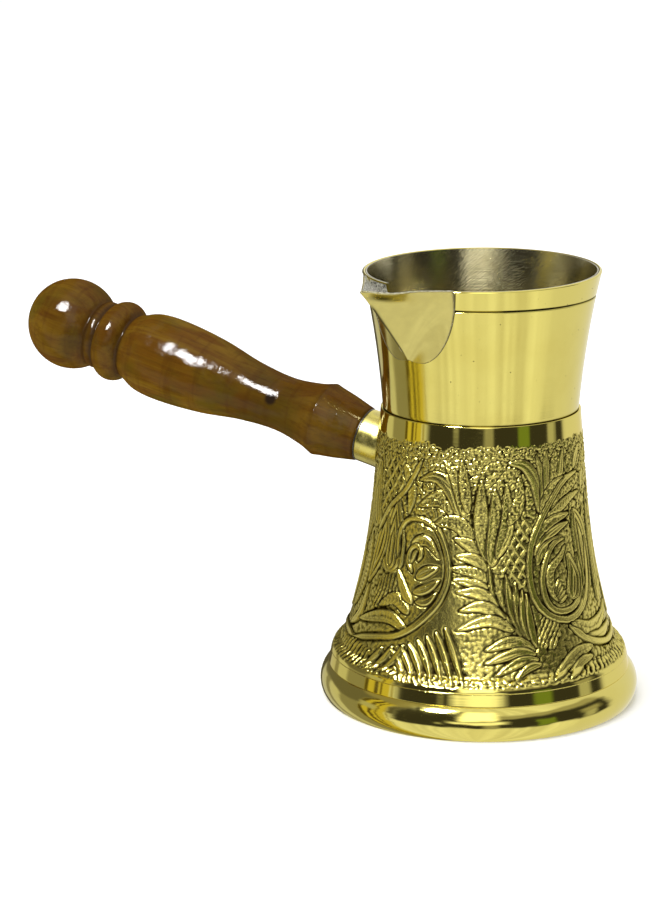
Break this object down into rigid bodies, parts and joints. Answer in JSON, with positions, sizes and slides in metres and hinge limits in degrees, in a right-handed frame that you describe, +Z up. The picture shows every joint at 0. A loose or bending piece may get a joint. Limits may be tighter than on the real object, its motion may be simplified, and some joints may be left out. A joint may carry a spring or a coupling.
{
  "type": "turkish coffee pot",
  "caption": "Small long-handled pot for brewing coffee on a flame: flared chased brass body, pouring spout at the rim and a turned wooden handle that unscrews.",
  "frame": {"origin": "on the pot's axis, in the plane that the base stands on", "axes": "+Z up along the pot's axis, -X towards the handle's free end, the spout points 18 degrees off -Y towards the handle"},
  "size_m": [0.1734, 0.082, 0.11],
  "materials": {
    "cast_brass": "cast and chased floral relief, bright on the raised work and brown in the hollows, with a mirror-polished band above and below",
    "turned_brass": "fine turned brass with a soft satin polish",
    "polished_brass": "mirror polish with faint turning marks",
    "sheet_brass": "smooth rolled sheet, hand polished, slightly paler than the turned brass",
    "tinned_inside": "wiped tin over coarse turning marks, greyish with a yellow cast",
    "steel": "bright zinc-plated screw thread",
    "dark_steel": "darkened thin washer",
    "varnished_wood": "turned hardwood with olive-brown streaks under thick gloss varnish"
  },
  "bodies": {
    "pot": {"bell": "cast_brass", "neck": "turned_brass", "foot_ring": "polished_brass", "bottom_plate": "polished_brass", "spout": "sheet_brass", "tin_lining": "tinned_inside", "handle_socket": "polished_brass", "socket_plug": "turned_brass", "handle_stud": "steel"},
    "washer": {"handle_washer": "dark_steel"},
    "grip": {"handle_grip": "varnished_wood", "thread_insert": "turned_brass"}
  },
  "joints": [
    {"name": "handle_withdraw", "type": "slide", "parent": "pot", "child": "washer", "axis": [-0.9694, 0, 0.2453], "range_m": [0, 0.0086]},
    {"name": "handle_unscrew", "type": "hinge", "parent": "washer", "child": "grip", "pos_m": [0, 0, 0.05605], "axis": [-0.9694, 0, 0.2453], "range_deg": [0, 3060]}
  ],
  "couplings": [
    {"joint": "handle_withdraw", "follows": "handle_unscrew", "m_per_rad": 0.00015915}
  ]
}
